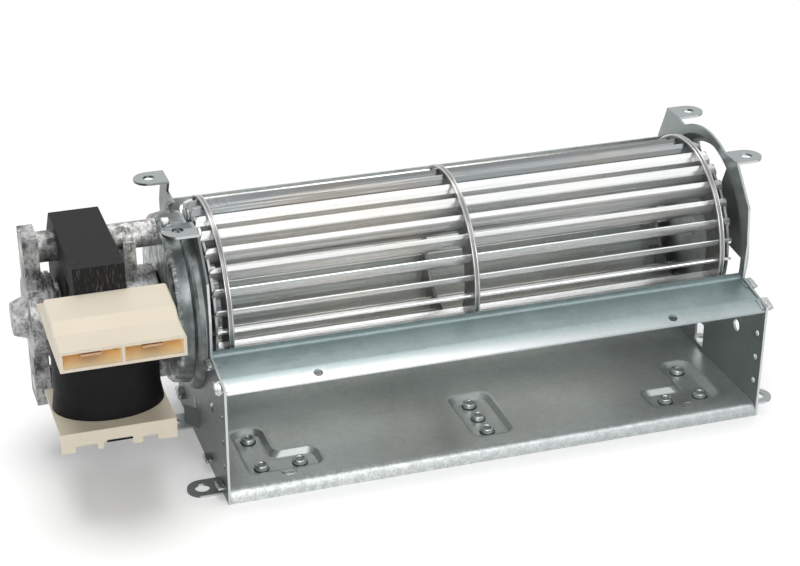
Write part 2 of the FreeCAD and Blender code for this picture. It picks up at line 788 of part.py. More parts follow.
def blade_section(gap):
    """One curved blade seen along the axis, at the front, grown all round by a gap.

    The curve is rolled in a few flats. It starts radially at the root and its tip leans upwards.
    """
    root, tip, curve = value("blade_root"), value("blade_tip"), value("blade_curve")
    half = value("blade_sheet") / 2
    turn = 0.0
    step = math.radians(0.05)
    while math.hypot(root + curve * math.sin(turn), curve * (1 - math.cos(turn))) < tip - half:
        turn += step
    half += gap
    grow = gap / curve
    flats = int(value("blade_flats"))
    angles = [-grow + (turn + 2 * grow) * i / flats for i in range(flats + 1)]

    def at(radius, angle):
        return V(0, -root - radius * math.sin(angle), curve - radius * math.cos(angle))

    loop = [at(curve - half, angle) for angle in angles]
    loop += [at(curve + half, angle) for angle in reversed(angles)]
    return Part.Face(Part.makePolygon(loop + loop[:1]))


def blade_angle(number):
    return "blade_phase + 360 / blade_count * %d" % number


def blade_slots(name, x, length):
    """The slots of all blades through one disc."""
    section = blade_section(value("slot_gap"))
    section.translate(V(value(x), 0, 0))
    solid = section.extrude(V(value(length), 0, 0))
    slots = []
    for number in range(int(value("blade_count"))):
        slot = solid.copy()
        slot.rotate(V(0, 0, 0), V(1, 0, 0), value(blade_angle(number)))
        slots.append(slot)
    item = doc.addObject("Part::Feature", name)
    item.Shape = Part.makeCompound(slots)
    return item


def blades():
    half = value("wheel_length") / 2
    section = blade_section(0)
    section.translate(V(-half, 0, 0))
    strip = section.extrude(V(2 * half, 0, 0))
    tip, bend = value("blade_tip") + value("tiny"), value("blade_end_round")
    slope = bend * (1 - math.sqrt(0.5))
    limit = Part.makePolygon([V(x, 0, z) for x, z in (
        (-half, 0), (-half, tip - bend), (-half + slope, tip - slope), (-half + bend, tip),
        (half - bend, tip), (half - slope, tip - slope), (half, tip - bend), (half, 0), (-half, 0))])
    barrel = Part.Face(limit).revolve(V(0, 0, 0), V(1, 0, 0), 360)
    blade = strip.common(barrel)
    for number in range(int(value("blade_count"))):
        name = "blade_%02d" % (number + 1)
        item = doc.addObject("Part::Feature", name)
        item.Shape = blade
        item.Placement = FreeCAD.Placement(V(0, 0, 0), FreeCAD.Rotation(V(1, 0, 0), 1))
        bind(item, Placement__Rotation__Angle=blade_angle(number))
        piece(name, item)


def ring(name, x):
    """A thin ring with a beaded rim, slotted for the blades."""
    corners = [
        (x + " - ring_sheet / 2", "ring_bore"), (x + " + ring_sheet / 2", "ring_bore"),
        (x + " + ring_sheet / 2", "ring_radius - 0.6"), (x + " + ring_bead / 2", "ring_radius - 0.4"),
        (x + " + ring_bead / 2 - 0.3", "ring_radius"), (x + " - ring_bead / 2 + 0.3", "ring_radius"),
        (x + " - ring_bead / 2", "ring_radius - 0.4"), (x + " - ring_sheet / 2", "ring_radius - 0.6"),
    ]
    body = turned(name + "_body", corners)
    slots = blade_slots(name + "_slots", x + " - ring_bead", "ring_bead * 2")
    return piece(name, cut(name + "_slotted", body, [slots]))


def end_disc(name, side):
    """A flat disc that carries the blade ends in open notches."""
    middle = "%d * (wheel_length / 2 - disc_inset)" % side
    corners = [(middle + " - disc_sheet / 2", "hub_spigot + press_gap"),
               (middle + " + disc_sheet / 2", "hub_spigot + press_gap"),
               (middle + " + disc_sheet / 2", "disc_radius"),
               (middle + " - disc_sheet / 2", "disc_radius")]
    body = turned(name + "_body", corners)
    slots = blade_slots(name + "_slots", middle + " - disc_sheet", "disc_sheet * 2")
    return piece(name, cut(name + "_slotted", body, [slots]))


def hub_corners(side, bore, end, end_radius):
    """A hub with a flange on the disc, a peened spigot through it, and a boss outwards."""
    face = "(wheel_length / 2 - disc_inset + disc_sheet / 2)"
    rows = [("%s - disc_sheet - 0.8" % face, bore), ("%s - disc_sheet - 0.8" % face, "hub_spigot"),
            (face, "hub_spigot"), (face, "hub_flange"), (face + " + hub_flange_sheet", "hub_flange"),
            (face + " + hub_flange_sheet", end_radius), (face + end, end_radius), (face + end, bore)]
    return [("%d * (%s)" % (side, x), radius) for x, radius in rows]


def drive_hub():
    body = turned("drive_hub_body", hub_corners(-1, "shaft_radius + press_gap", " + hub_length",
                                                "hub_radius"))
    middle = "-(wheel_length / 2 - disc_inset + disc_sheet / 2 + hub_length / 2 + 0.6)"
    hole = rod("drive_hub_thread", "set_screw_radius + press_gap", "hub_radius * 2", middle,
               "0", "0", ALONG_Z)
    piece("drive_hub", cut("drive_hub_cut", body, [hole]))
    screw = rod("set_screw", "set_screw_radius", "hub_radius - shaft_radius - press_gap * 2", middle,
                "0", "shaft_radius + press_gap", ALONG_Z)
    socket = rod("set_screw_socket", "set_screw_radius / 2", "hub_radius", middle,
                 "0", "hub_radius - 1.6", ALONG_Z)
    piece("hub_set_screw", cut("set_screw_cut", screw, [socket]))


def stub_shaft():
    corners = hub_corners(1, "0", " + hub_flange_sheet + stub_out", "stub_radius")
    return piece("stub_shaft", turned("stub", corners))


blades()
ring("left_ring", "-ring_place")
ring("middle_ring", "-middle_ring_left")
ring("right_ring", "ring_place")
end_disc("drive_end_disc", -1)
end_disc("idle_end_disc", 1)
drive_hub()
stub_shaft()


# idle bearing in the right side plate

def idle_bearing():
    middle = "(span / 2 + dish_step - plate_sheet / 2)"
    hole, lip = "rubber_bore_hole - fit_gap", "rubber_lip"
    half = "(plate_sheet / 2 + fit_gap)"
    inner = "bush_radius + press_gap"
    rows = [("-%s - %s" % (half, lip), inner), ("-%s - %s" % (half, lip), "rubber_flange"),
            ("-" + half, "rubber_flange"), ("-" + half, hole), (half, hole),
            (half, "rubber_flange"), ("%s + %s" % (half, lip), "rubber_flange"),
            ("%s + %s" % (half, lip), inner)]
    rubber = turned("rubber", [("%s + %s" % (middle, x), radius) for x, radius in rows])
    piece("idle_bearing_rubber", rubber)
    start = middle + " - bush_length / 2"
    body = rod("bush_body", "bush_radius", "bush_length", start)
    bore = rod("bush_bore", "stub_radius + running_gap", "bush_length * 2", start + " - 1")
    piece("idle_bearing_bush", cut("bush", body, [bore]))


idle_bearing()


# motor

STACK_LEFT = "(-stack_left)"
STACK_RIGHT = "(-stack_right)"


def stator_core():
    high, arm = "stack_half_height", "(stack_half_height - arm_thick)"
    corners = [
        ("-stack_front", high), ("stack_shoulder", high), ("stack_back - 2", "stack_back"),
        ("stack_back", "stack_back - 7"), ("stack_back", "7 - stack_back"),
        ("stack_back - 2", "-stack_back"), ("stack_shoulder", "-" + high),
        ("-stack_front", "-" + high), ("-stack_front", "-" + arm),
        ("-stack_window", "-" + arm), ("-stack_window", arm), ("-stack_front", arm),
    ]
    body = slab("stack_body", corners, STACK_LEFT, "stack_length")
    start, through = STACK_LEFT + " - 1", "stack_length + 2"
    holes = [rod("stack_bore", "rotor_radius + air_gap", through, start)]
    wire = "(shade_wire + fit_gap * 2)"
    for side in ("-1", "1"):
        tag = "low" if side == "-1" else "high"
        holes.append(rod("stack_screw_" + tag, "screw_radius + screw_gap", through, start, "0",
                         side + " * post_pitch / 2"))
        for i, reach in enumerate(("shade_reach", "(shade_reach + shade_pitch)")):
            holes.append(box("stack_notch_%s_%d" % (tag, i), start, "-%s - %s / 2" % (reach, wire),
                             "%s * shade_height - %s / 2" % (side, wire), through, wire, wire))
    return piece("stator_core", cut("stack", body, holes))


def shading_rings():
    loops = []
    for side in ("-1", "1"):
        tag = "low" if side == "-1" else "high"
        low = "%s * shade_height - shade_wire / 2" % side
        front = "-shade_reach - shade_pitch - shade_wire / 2"
        outer = box("shade_outer_" + tag, STACK_LEFT + " - fit_gap - shade_wire", front, low,
                    "stack_length + 2 * (fit_gap + shade_wire)", "shade_pitch + shade_wire",
                    "shade_wire")
        inner = box("shade_inner_" + tag, STACK_LEFT + " - fit_gap", front + " + shade_wire",
                    low + " - 1", "stack_length + 2 * fit_gap", "shade_pitch - shade_wire",
                    "shade_wire + 2")
        loops.append(cut("shade_loop_" + tag, outer, [inner]))
    return piece("shading_rings", group("shade_pair", loops))


def coil_core():
    arm = "(stack_half_height - arm_thick)"
    return piece("coil_core", box("leg", STACK_LEFT, "-stack_front", "-" + arm, "stack_length",
                                  "leg_thick", "2 * " + arm))


COIL_MIDDLE = "(-stack_front + leg_thick / 2)"
FLANGE_TOP = "(stack_half_height - arm_thick - fit_gap)"


def coil_winding():
    """A wound coil, oval seen from above, that swells a little over its lower flange."""
    low = "(stack_half_height - arm_thick - fit_gap * 2 - flange_sheet)"
    tall = "(%s + housing_low - fit_gap)" % low
    levels = (("0", "coil_flare"), (tall + " * 0.2", "0.15"), (tall, "0"))
    ovals = []
    for i, (height, swell) in enumerate(levels):
        oval = doc.addObject("Part::Ellipse", "coil_oval_%d" % i)
        bind(oval, MajorRadius="coil_half_long + " + swell, MinorRadius="coil_half_short + " + swell)
        put(oval, "bobbin_middle", COIL_MIDDLE, "-%s + %s" % (low, height))
        ovals.append(oval)
    body = doc.addObject("Part::Loft", "coil_body")
    body.Sections = ovals
    body.Solid = True
    body.Ruled = True
    play = "(bobbin_wall + fit_gap * 2)"
    hole = box("coil_hole", STACK_LEFT + " - " + play, "-stack_front - " + play,
               "-stack_half_height", "stack_length + 2 * " + play, "leg_thick + 2 * " + play,
               "2 * stack_half_height")
    return piece("coil_winding", cut("coil", body, [hole]))


SOCKET_STARTS = ("housing_middle - housing_half + socket_wall", "housing_middle + socket_wall / 2")


def bobbin():
    """The moulded bobbin: tube, two flanges, the notched skirt and the connector housing."""
    left, wide = "(bobbin_middle - bobbin_half)", "2 * bobbin_half"
    tube = box("bobbin_tube", STACK_LEFT + " - fit_gap - bobbin_wall",
               "-stack_front - fit_gap - bobbin_wall", "-" + FLANGE_TOP,
               "stack_length + 2 * (fit_gap + bobbin_wall)",
               "leg_thick + 2 * (fit_gap + bobbin_wall)",
               "%s + housing_low + flange_sheet" % FLANGE_TOP)
    back = "-stack_window - 0.4"
    low = box("bobbin_low", left, "-flange_front", "-" + FLANGE_TOP, wide,
              "flange_front + (%s)" % back, "flange_sheet")
    high = box("bobbin_high", left, "-flange_front", "housing_low", wide,
               "flange_front + (%s)" % back, "flange_sheet")
    skirt = box("bobbin_skirt", left, "-flange_front", "-%s - skirt_drop" % FLANGE_TOP, wide,
                "flange_sheet", "skirt_drop + flange_sheet")
    notches = []
    for i, (start, length) in enumerate((("0.12", "0.19"), ("0.36", "0.25"), ("0.70", "0.13"))):
        notches.append(box("bobbin_notch_%d" % i, "%s + %s * (%s)" % (left, start, wide),
                           "-flange_front - 1", "-%s - skirt_drop - 1" % FLANGE_TOP,
                           "%s * (%s)" % (length, wide), "flange_sheet + 1.5", "1 + notch_rise"))
    corners = [
        ("-stack_front - 0.3", "housing_top"), ("-housing_step_back", "housing_step_high"),
        ("-housing_step_front", "housing_step_low"), ("-housing_front", "housing_nose"),
        ("-housing_front", "housing_low"), ("-stack_front - 0.3", "housing_low"),
    ]
    block = slab("housing", corners, "housing_middle - housing_half", "2 * housing_half")
    top, back_face = value("housing_nose") - 0.2, -value("stack_front + 0.4")

    def soft(edge):
        middle = edge.CenterOfMass
        along_y = edge.BoundBox.XLength < 0.01
        return along_y and (middle.z > top or middle.y > back_face)

    housing = rounded("housing_soft", block, "housing_round", soft)
    sockets = []
    clear_wide = "(housing_half - socket_wall * 1.5)"
    for i, start in enumerate(SOCKET_STARTS):
        sockets.append(box("socket_%d" % i, start, "-housing_front - 1", "housing_low + socket_wall",
                           clear_wide, "socket_depth + 1",
                           "housing_nose - housing_low - 2 * socket_wall"))
        slot_x = "%s + %s / 2 - terminal_width / 2 - fit_gap" % (start, clear_wide)
        sockets.append(box("socket_slot_%d" % i, slot_x, "-housing_front",
                           "terminal_height - terminal_sheet / 2 - fit_gap",
                           "terminal_width + 2 * fit_gap", "housing_front - terminal_back + fit_gap",
                           "terminal_sheet + 2 * fit_gap"))
    solid = fuse("bobbin_solid", [tube, low, high, skirt, housing])
    leg = box("bobbin_leg", STACK_LEFT + " - fit_gap", "-stack_front - fit_gap",
              "-stack_half_height", "stack_length + 2 * fit_gap", "leg_thick + 2 * fit_gap",
              "2 * stack_half_height")
    return piece("bobbin", cut("bobbin_cut", solid, [leg] + notches + sockets))


def terminals():
    clear_wide = "(housing_half - socket_wall * 1.5)"
    tabs = []
    for i, start in enumerate(SOCKET_STARTS):
        x = "%s + %s / 2 - terminal_width / 2" % (start, clear_wide)
        tabs.append(box("terminal_%d" % i, x, "-terminal_tip",
                        "terminal_height - terminal_sheet / 2", "terminal_width",
                        "terminal_tip - terminal_back", "terminal_sheet"))
    return piece("terminals", group("terminal_pair", tabs))


def rotor():
    core_start = STACK_LEFT + " - 0.2"
    body = rod("rotor_body", "rotor_radius", "stack_length + 0.4", core_start)
    bore = rod("rotor_bore", "shaft_radius + press_gap", "stack_length + 4", STACK_LEFT + " - 2")
    ends = []
    for i, x in enumerate((core_start + " - cage_end", STACK_RIGHT + " + 0.2")):
        ends.append(rod("cage_end_%d" % i, "cage_radius", "cage_end", x))
    piece("rotor_core", cut("rotor_core_cut", body, [bore]))
    cage = fuse("cage_solid", ends)
    cage_bore = rod("cage_bore", "shaft_radius + press_gap", "stack_length * 2",
                    STACK_LEFT + " - 6")
    piece("rotor_cage", cut("cage", cage, [cage_bore]))
    shaft_left = "(-outer_ball - ball_width / 2 - 1.6)"
    shaft_right = "(-wheel_length / 2 + disc_inset + shaft_in_wheel)"
    piece("motor_shaft", rod("shaft", "shaft_radius", "%s - %s" % (shaft_right, shaft_left),
                             shaft_left))


def bearing(name, centre, away):
    """A ball-shaped sintered bush; gives its felt ring and its spring keeper, away from the rotor."""
    levels = [(share, "sqrt(ball_radius ^ 2 - (%s * ball_width / 2) ^ 2)" % share)
              for share in (-1, 0, 1)]
    corners = [("%s - ball_width / 2" % centre, "tiny"), ("%s + ball_width / 2" % centre, "tiny")]
    corners += [("%s - %s * ball_width / 2" % (centre, share), reach) for share, reach in levels]
    ball = turned(name + "_ball", corners)
    bore = rod(name + "_bore", "shaft_radius + running_gap", "ball_width * 2", centre + " - ball_width")
    piece(name + "_bearing", cut(name + "_bush", ball, [bore]))
    felt_start = centre + (" - 1.5" if away < 0 else " + 1.5 - felt_length")
    felt = rod(name + "_felt_body", "felt_radius", "felt_length", felt_start)
    felt_bore = rod(name + "_felt_bore", "ball_radius + 0.15", "felt_length * 3",
                    felt_start + " - felt_length")
    keeper_start = centre + (" + 2" if away < 0 else " - 2 - keeper_sheet")
    keeper = rod(name + "_keeper_body", "felt_radius", "keeper_sheet", keeper_start)
    keeper_bore = rod(name + "_keeper_bore", "keeper_bore", "keeper_sheet * 3",
                      keeper_start + " - keeper_sheet")
    return cut(name + "_felt", felt, [felt_bore]), cut(name + "_keeper", keeper, [keeper_bore])


def bearings():
    felts, keepers = zip(bearing("outer", "-outer_ball", -1), bearing("inner", "-inner_ball", 1))
    piece("oil_felts", group("felt_pair", list(felts)))
    piece("bearing_keepers", group("keeper_pair", list(keepers)))


OUTER_BAR_RIGHT = "(-outer_bar_face)"
OUTER_BAR_LEFT = "(-outer_bar_face - outer_bar_thick)"
INNER_BAR_LEFT = "(%s + inner_bar_gap)" % STACK_RIGHT


def outer_bracket():
    left, right = OUTER_BAR_LEFT, OUTER_BAR_RIGHT
    bar = box("outer_bar", left, "-bar_half_width", "-bar_half_height", "outer_bar_thick",
              "2 * bar_half_width", "2 * bar_half_height")
    bell = rod("outer_bell", "bell_radius", "outer_bar_thick + bell_lip", left)
    nose = doc.addObject("Part::Cone", "outer_nose")
    nose.Placement = FreeCAD.Placement(V(0, 0, 0), ALONG_X)
    bind(nose, Radius1="nose_tip_radius", Radius2="nose_root_radius", Height="nose_length")
    put(nose, left + " - nose_length")
    posts, holes = [], []
    for i, side in enumerate(("-1", "1")):
        z = side + " * post_pitch / 2"
        posts.append(rod("outer_post_%d" % i, "outer_post", "%s - %s" % (STACK_LEFT, right), right,
                         "0", z))
        holes.append(rod("outer_screw_hole_%d" % i, "screw_radius + screw_gap",
                         "outer_bar_thick + 20", left + " - 5", "0", z))
        holes.append(rod("outer_head_room_%d" % i, "screw_head + screw_gap",
                         "screw_head_thick + 5", left + " - 5", "0", z))
    mouth = rod("outer_mouth", "bell_bore", "bell_lip + 1", right)
    felt_room = rod("outer_felt_room", "felt_radius + fit_gap",
                    "%s + outer_ball + 1.6" % right, "-outer_ball - 1.6")
    seat = rod("outer_seat", "ball_radius + fit_gap", "ball_width", "-outer_ball - ball_width / 2 - 0.1")
    tip_room = rod("outer_tip_room", "shaft_radius + 0.6", "ball_width",
                   "-outer_ball - ball_width / 2 - 2.4")
    for i, start in enumerate(("%s + 0.6" % right, "%s + 2.4" % right)):
        posts.append(rod("outer_rib_%d" % i, "bell_radius + bell_rib", "0.9", start))
    body = fuse("outer_body", [bar, bell, nose] + posts)
    return piece("outer_bracket",
                 cut("outer", body, holes + [mouth, felt_room, seat, tip_room]))


def inner_bracket():
    left = INNER_BAR_LEFT
    bar = box("inner_bar", left, "-bar_half_width", "-post_pitch / 2", "inner_bar_thick",
              "2 * bar_half_width", "post_pitch")
    boss = rod("inner_boss", "inner_boss_radius", "-inner_boss_end - " + left, left)
    plate_face = "(-span / 2 - cup_depth)"
    posts, holes = [], []
    for i, side in enumerate(("-1", "1")):
        z = side + " * post_pitch / 2"
        posts.append(rod("inner_post_%d" % i, "inner_post", "%s - %s" % (plate_face, STACK_RIGHT),
                         STACK_RIGHT, "0", z))
        holes.append(rod("inner_screw_hole_%d" % i, "screw_radius + press_gap", "8", STACK_RIGHT,
                         "0", z))
        holes.append(rod("inner_plate_hole_%d" % i, "screw_radius + press_gap",
                         "plate_screw_length + 0.6", plate_face + " - plate_screw_length - 0.6", "0", z))
    felt_room = rod("inner_felt_room", "felt_radius + fit_gap", "-inner_ball + 1.6 - " + left, left)
    seat = rod("inner_seat", "ball_radius + fit_gap", "ball_width", "-inner_ball - ball_width / 2 + 0.1")
    tip_room = rod("inner_tip_room", "shaft_radius + 0.6", "30", "-inner_ball")
    body = fuse("inner_body", [bar, boss] + posts)
    return piece("inner_bracket", cut("inner", body, holes + [felt_room, seat, tip_room]))


def screws():
    """Two long screws through the stack, and two short ones from inside the side plate."""
    long_screws, short_screws = [], []
    head_face, plate_inside = OUTER_BAR_LEFT, "(-span / 2 - cup_depth + plate_sheet)"
    for i, side in enumerate(("-1", "1")):
        z = side + " * post_pitch / 2"
        head = rod("long_head_%d" % i, "screw_head", "screw_head_thick", head_face, "0", z)
        shank = rod("long_shank_%d" % i, "screw_radius", "%s + 7 - %s" % (STACK_RIGHT, head_face),
                    head_face, "0", z)
        long_screws.append(fuse("long_screw_%d" % i, [head, shank]))
        head = rod("short_head_%d" % i, "screw_head", "screw_head_thick", plate_inside, "0", z)
        length = "plate_screw_length + plate_sheet"
        shank = rod("short_shank_%d" % i, "screw_radius", length, "%s - %s" % (plate_inside, length),
                    "0", z)
        short_screws.append(fuse("short_screw_%d" % i, [head, shank]))
    piece("motor_screws", group("long_pair", long_screws))
    piece("plate_screws", group("short_pair", short_screws))


stator_core()
shading_rings()
coil_core()
coil_winding()
bobbin()
terminals()
rotor()
bearings()
outer_bracket()
inner_bracket()
screws()

doc.recompute()
for item in doc.Objects:
    if "Invalid" in item.State or "Error" in item.State:
        raise RuntimeError("%s did not compute" % item.Label)
for name, item in nodes.items():
    if item.Shape.isNull() or not item.Shape.isValid() or not item.Shape.Solids:
        raise RuntimeError("%s is not a valid solid" % name)

os.makedirs("parts", exist_ok=True)
for name, item in nodes.items():
    item.Shape.exportStep("parts/%s.step" % name)
    print(name, len(item.Shape.Solids), round(item.Shape.Volume, 1))
print(len(nodes), "sub-parts")
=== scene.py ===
import math

import bmesh
import bpy
from mathutils import Matrix, Vector, noise


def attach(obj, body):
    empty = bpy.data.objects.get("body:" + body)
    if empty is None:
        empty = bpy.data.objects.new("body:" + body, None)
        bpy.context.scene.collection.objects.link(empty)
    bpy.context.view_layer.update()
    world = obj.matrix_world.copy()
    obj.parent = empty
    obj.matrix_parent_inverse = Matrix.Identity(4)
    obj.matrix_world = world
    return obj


# The cross flow fan: finishes for its CAD pieces, the small pieces that the CAD leaves out,
# the studio and the camera. The frame is in metres; sizes here are given in millimetres.

MM = 0.001
AXIS_Y, AXIS_Z = 39.5, 51.0

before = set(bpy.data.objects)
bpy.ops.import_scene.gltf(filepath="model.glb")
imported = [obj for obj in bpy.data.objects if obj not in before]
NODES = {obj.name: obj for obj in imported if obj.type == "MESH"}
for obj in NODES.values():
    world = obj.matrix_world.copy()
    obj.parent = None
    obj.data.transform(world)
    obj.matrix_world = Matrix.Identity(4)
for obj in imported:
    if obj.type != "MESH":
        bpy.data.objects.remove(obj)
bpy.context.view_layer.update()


# Shader helpers

class Wire:
    """An output socket that takes part in arithmetic."""

    def __init__(self, shade, socket):
        self.shade = shade
        self.socket = socket

    def math(self, operation, *others):
        return self.shade.node("Math", {"operation": operation}, dict(enumerate((self,) + others)))

    def __add__(self, other):
        return self.math("ADD", other)

    def __mul__(self, other):
        return self.math("MULTIPLY", other)

    def __sub__(self, other):
        return self.math("SUBTRACT", other)

    def __truediv__(self, other):
        return self.math("DIVIDE", other)

    def __rsub__(self, other):
        return self.shade.node("Math", {"operation": "SUBTRACT"}, {0: other, 1: self})

    def size(self):
        return self.math("ABSOLUTE")

    def clamped(self):
        return self.math("MINIMUM", 1.0).math("MAXIMUM", 0.0)

    def between(self, low, high):
        """0 at low and 1 at high, with a soft start and end."""
        ends = {"Value": self, "From Min": low, "From Max": high}
        return self.shade.node("MapRange", {"interpolation_type": "SMOOTHSTEP"}, ends)


class Shade:
    """A tree of shader nodes, and the one way to add a node to it."""

    def __init__(self, tree):
        self.tree = tree

    def plug(self, socket, value):
        if isinstance(value, Wire):
            self.tree.links.new(value.socket, socket)
        else:
            socket.default_value = value

    def node(self, kind, settings=None, values=None, output=0):
        node = self.tree.nodes.new("ShaderNode" + kind)
        for name, setting in (settings or {}).items():
            if name == "stops":
                elements = node.color_ramp.elements
                while len(elements) < len(setting):
                    elements.new(0.5)
                for element, (place, colour) in zip(elements, setting):
                    element.position = place
                    element.color = (*colour, 1.0)
            else:
                setattr(node, name, setting)
        for name, value in (values or {}).items():
            self.plug(node.inputs[name], value)
        return Wire(self, node.outputs[output])

    def seen_directly(self):
        """1 for the rays of the camera and of reflections, and 0 for the light that falls on things."""
        rays = self.node("LightPath").socket.node.outputs
        seen = Wire(self, rays["Is Camera Ray"]) + Wire(self, rays["Is Glossy Ray"])
        return (seen + Wire(self, rays["Is Transmission Ray"])).clamped()

    def blend(self, factor, first, second):
        """A colour between two colours."""
        pair = [colour if isinstance(colour, Wire) else (*colour, 1.0) for colour in (first, second)]
        values = {0: factor, 6: pair[0], 7: pair[1]}
        return self.node("Mix", {"data_type": "RGBA"}, values, 2)


class Finish(Shade):
    """A material with one Principled shader."""

    def __init__(self, name, colour, metallic=0.0, roughness=0.5, **fixed):
        self.material = bpy.data.materials.new(name)
        self.material.use_nodes = True
        super().__init__(self.material.node_tree)
        self.shader = self.tree.nodes["Principled BSDF"]
        self.set("Base Color", (*colour, 1.0))
        self.set("Metallic", metallic)
        self.set("Roughness", roughness)
        for socket, value in fixed.items():
            self.set(socket.replace("_", " "), value)

    def set(self, socket, value):
        self.plug(self.shader.inputs[socket], value)

    def base(self):
        """What the base colour is so far."""
        return Wire(self, self.shader.inputs["Base Color"].links[0].from_socket)

    def place(self):
        return self.node("TexCoord", output="Object")

    def axes(self):
        """The place on the piece as three values, in millimetres."""
        split = self.node("SeparateXYZ", None, {0: self.place()}).socket.node
        return [Wire(self, split.outputs[i]) * 1000.0 for i in range(3)]

    def facing(self):
        """The way that the surface faces, as three values in the piece's own frame."""
        split = self.node("SeparateXYZ", None, {0: self.node("TexCoord", output="Normal")}).socket.node
        return [Wire(self, split.outputs[i]) for i in range(3)]

    def reach(self):
        """The distance from the rotor's axis, in millimetres."""
        x, y, z = self.axes()
        y, z = y - AXIS_Y, z - AXIS_Z
        return (y * y + z * z).math("SQRT")

    def outwards(self):
        """1 where the surface faces straight away from the rotor's axis, and -1 towards it."""
        x, y, z = self.axes()
        nx, ny, nz = self.facing()
        return ((y - AXIS_Y) * ny + (z - AXIS_Z) * nz) / self.reach()

    def stretched(self, x, y, z):
        return self.node("Mapping", None, {"Vector": self.place(), "Scale": (x, y, z)})

    def noise(self, size, detail=3.0, where=None, roughness=0.5):
        """Noise from 0 to 1 with grains of that size in millimetres."""
        values = {"Vector": where or self.place(), "Scale": 1000.0 / size, "Detail": detail,
                  "Roughness": roughness}
        return self.node("TexNoise", None, values)

    def cells(self, size, where=None):
        """A random value for each crystal of that size in millimetres."""
        values = {"Vector": where or self.place(), "Scale": 1000.0 / size, "Randomness": 1.0}
        colour = self.node("TexVoronoi", None, values, "Color")
        return self.node("SeparateColor", None, {0: colour})

    def tones(self, value, *stops):
        """A colour for each value from 0 to 1."""
        return self.node("ValToRGB", {"stops": stops}, {0: value})

    def relief(self, height, depth, strength=1.0):
        """Bump of that depth in millimetres."""
        values = {"Height": height, "Distance": depth * MM, "Strength": strength}
        self.set("Normal", self.node("Bump", None, values))


def scaled(colour, amount):
    return tuple(channel * amount for channel in colour)


# Finishes

def zinc_sheet(name, colour, roughness=0.38, metallic=0.75, painted_edge_light=True):
    """Hot dipped sheet: small faint crystals, cloudy patches, rub marks, and edges painted light."""
    zinc = Finish(name, colour, metallic, roughness)
    crystals = zinc.cells(1.6)
    grain = zinc.noise(0.9, 4.0, None, 0.7)
    clouds = zinc.noise(24.0, 3.0)
    rubs = zinc.noise(1.3, 2.0, zinc.stretched(0.03, 0.5, 1.0)).between(0.60, 0.80)
    tone = (crystals - 0.5) * 0.16 + (grain - 0.5) * 0.50 + (clouds - 0.5) * 0.7 + rubs * 0.10 + 0.5
    base = zinc.blend(tone.clamped(), scaled(colour, 0.70), scaled(colour, 1.30))
    if painted_edge_light:
        # Painted light: faces that face up are painted lighter, and cut edges that face front or back are
        # painted as bright highlights.
        nx, ny, nz = zinc.facing()
        base = zinc.blend(nz.between(0.90, 0.98), base, (0.33, 0.36, 0.36))
        base = zinc.blend(ny.size().between(0.90, 0.98), base, (0.60, 0.63, 0.64))
    zinc.set("Base Color", base)
    zinc.set("Roughness", (crystals * 0.08 + clouds * 0.16 + roughness - 0.12).clamped())
    zinc.relief(grain, 0.010, 0.5)
    return zinc


# One galvanised sheet in four tones, set part by part as painted light and shade: the left plate darkest,
# as painted shade, and the right plate and tongue darker than the scroll sheet.
SHADED_LEFT_ZINC = (0.135, 0.150, 0.148)
RIGHT_ZINC = (0.30, 0.335, 0.33)
TONGUE_ZINC = (0.26, 0.325, 0.33)
SCROLL_ZINC = (0.575, 0.62, 0.605)

right_zinc = zinc_sheet("right_plate_zinc", RIGHT_ZINC)


def tongue_sheet_zinc():
    """The tongue sheet: painted light along its front edge, strongest at the left."""
    zinc = zinc_sheet("tongue_zinc", TONGUE_ZINC, 0.42, 0.8, False)
    base = zinc.base()
    x, y, z = zinc.axes()
    lit = (1.0 - y.between(-12.6, -6.2)) * (1.0 - x.between(-85.0, 75.0) * 0.75)
    zinc.set("Base Color", zinc.blend(lit, base, (0.76, 0.77, 0.78)))
    return zinc


tongue_zinc = tongue_sheet_zinc()


def scroll_sheet_zinc():
    """The scroll sheet: painted pale warm light on the curve behind the wheel, and a stippled nose with
    painted shade towards the right.
    """
    zinc = zinc_sheet("scroll_zinc", SCROLL_ZINC, 0.38, 0.7, False)
    base = zinc.base()
    x, y, z = zinc.axes()
    # Painted light: the curve behind the wheel is painted pale and warm.
    curve = (1.0 - zinc.reach().between(36.2, 36.5)) * y.between(18.0, 34.0)
    inner = zinc.blend(curve, base, (0.86, 0.83, 0.76))
    nose = 1.0 - y.between(-9.6, -8.4)
    stipple = (zinc.noise(0.9, 3.0, None, 0.7) * 0.6 + zinc.noise(2.4, 2.0) * 0.4).between(0.40, 0.62)
    stippled = zinc.blend(stipple, (0.53, 0.57, 0.565), (0.80, 0.825, 0.82))
    # Painted shade: the stippled nose is darker towards the right.
    shaded = zinc.blend(x.between(-70.0, 95.0) * 0.5, stippled, (0.36, 0.40, 0.40))
    zinc.set("Base Color", zinc.blend(nose, inner, shaded))
    return zinc


scroll_zinc = scroll_sheet_zinc()


def drawn_cup_zinc():
    """The left plate: its drawn cup is scored lengthways, light and dark, on the wall, and darker and
    blotched on the ridge.
    """
    zinc = zinc_sheet("left_plate_zinc", SHADED_LEFT_ZINC)
    base = zinc.base()
    x, y, z = zinc.axes()
    reach = zinc.reach()
    in_cup = (1.0 - reach.between(36.5, 37.5)) * (1.0 - x.between(-93.6, -93.2))
    scores = zinc.noise(1.5, 4.0, zinc.stretched(0.35, 1.0, 0.5), 0.75)
    blots = zinc.noise(3.4, 3.0, zinc.stretched(0.7, 1.0, 0.5))
    wall = zinc.tones((scores * 0.6 + blots * 0.5).between(0.34, 0.78),
                      (0.0, (0.05, 0.055, 0.055)), (0.45, (0.21, 0.235, 0.235)), (1.0, (0.85, 0.87, 0.87)))
    ridge = zinc.blend(blots.between(0.3, 0.8), (0.10, 0.115, 0.115), (0.30, 0.33, 0.33))
    outer = 1.0 - x.between(-100.4, -99.6)
    cup = zinc.blend(outer, ridge, wall)
    zinc.set("Base Color", zinc.blend(in_cup, base, cup))
    return zinc


left_zinc = drawn_cup_zinc()


